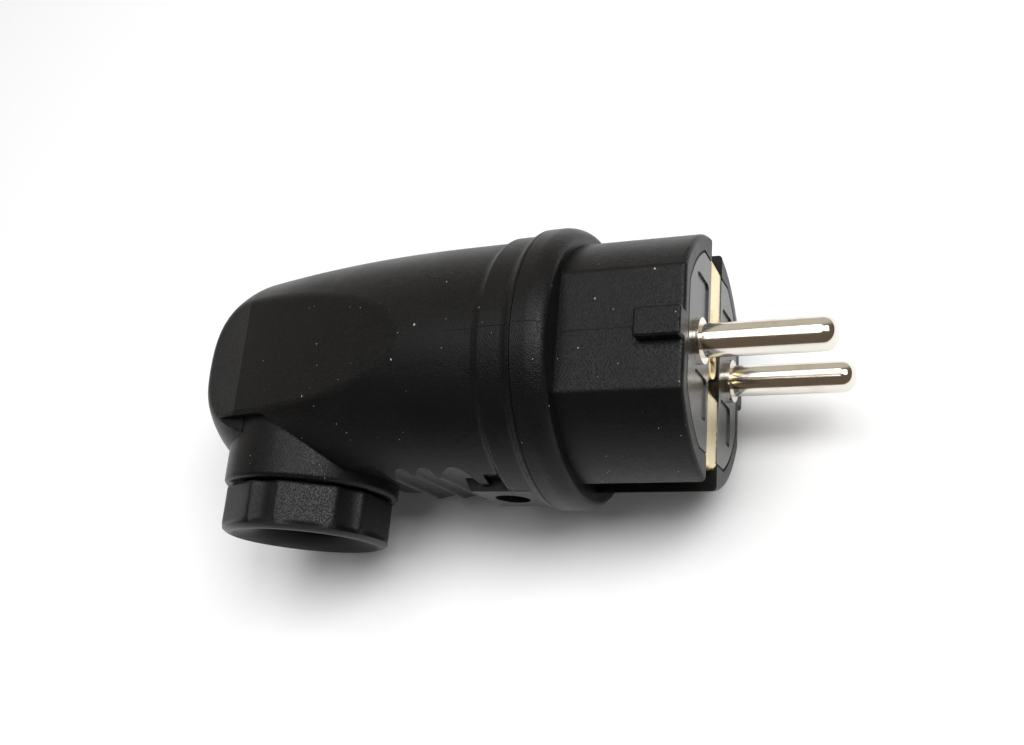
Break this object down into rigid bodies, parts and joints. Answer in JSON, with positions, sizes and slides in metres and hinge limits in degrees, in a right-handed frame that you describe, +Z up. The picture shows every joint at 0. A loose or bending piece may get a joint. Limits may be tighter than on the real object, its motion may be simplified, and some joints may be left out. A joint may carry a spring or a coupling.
{
  "type": "angled earthed plug",
  "caption": "Black rubber angled earthed plug with two round nickel pins, a brass earth strip and a side cable gland.",
  "frame": {"origin": "centre of the engagement face, on the plug's axis midway between the two pins", "axes": "+X along the pins towards their tips; +Z up, with the plug lying on its side and rolled 11.3 degrees so that its gland nut meets the table"},
  "size_m": [0.1047, 0.0517, 0.044],
  "materials": {
    "rubber": "fine grained moulded rubber",
    "rubber_nut": "smooth moulded",
    "seal_rubber": "matte",
    "insert": "satin thermoset",
    "inner_plastic": "matte",
    "nickel": "nickel plated, polished",
    "brass": "bare stamped brass",
    "brass_screw": "turned",
    "zinc_steel": "zinc plated"
  },
  "bodies": {
    "root": {"front_body": "rubber", "rear_hood": "rubber", "gland_nut": "rubber_nut", "gland_seal": "seal_rubber", "gland_washer": "inner_plastic", "pin_carrier": "insert", "carrier_back": "inner_plastic", "pin_left": "nickel", "pin_right": "nickel", "earth_strip": "brass", "terminal_left": "brass", "terminal_right": "brass", "earth_terminal": "brass", "terminal_screw_left": "zinc_steel", "terminal_screw_right": "zinc_steel", "earth_terminal_screw": "zinc_steel", "clamp_plate_left": "zinc_steel", "clamp_plate_right": "zinc_steel", "earth_clamp_plate": "zinc_steel", "centre_screw": "brass_screw", "housing_screw": "zinc_steel", "housing_nut": "zinc_steel"}
  },
  "joints": []
}
